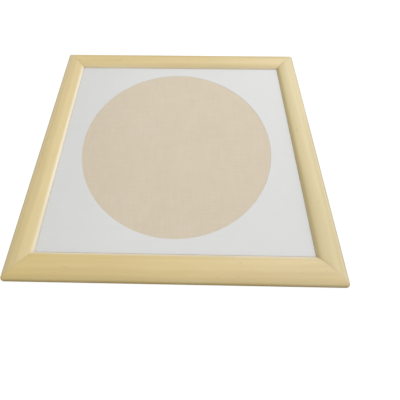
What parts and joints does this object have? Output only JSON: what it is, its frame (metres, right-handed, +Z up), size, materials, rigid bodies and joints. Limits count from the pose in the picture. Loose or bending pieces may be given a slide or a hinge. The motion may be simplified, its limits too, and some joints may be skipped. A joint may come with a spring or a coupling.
{
  "type": "screen printing frame",
  "caption": "Wooden screen printing frame with crowned mitred rails and a taut woven screen, masked by a white block-out coat around a round open area.",
  "frame": {"origin": "middle of the footprint, on the plane the rails rest on", "axes": "+X runs along the front and back rails, +Y points to the back rail, +Z up, away from the printing side"},
  "size_m": [0.394, 0.369, 0.011],
  "materials": {
    "rail_wood": "satin clear lacquer",
    "tongue_wood": "raw",
    "nail_steel": "bright",
    "screen_weave": "fine plain weave",
    "blockout_white": "eggshell",
    "cord_yarn": "twisted"
  },
  "bodies": {
    "root": {"rail_front": "rail_wood", "rail_back": "rail_wood", "rail_left": "rail_wood", "rail_right": "rail_wood", "corner_tongue_front_left": "tongue_wood", "corner_tongue_front_right": "tongue_wood", "corner_tongue_back_left": "tongue_wood", "corner_tongue_back_right": "tongue_wood", "v_nail_front_left_outer": "nail_steel", "v_nail_front_left_inner": "nail_steel", "v_nail_front_right_outer": "nail_steel", "v_nail_front_right_inner": "nail_steel", "v_nail_back_left_outer": "nail_steel", "v_nail_back_left_inner": "nail_steel", "v_nail_back_right_outer": "nail_steel", "v_nail_back_right_inner": "nail_steel", "screen_mesh": "screen_weave", "blockout_coat": "blockout_white", "cord_front": "cord_yarn", "cord_back": "cord_yarn", "cord_left": "cord_yarn", "cord_right": "cord_yarn"}
  },
  "joints": []
}
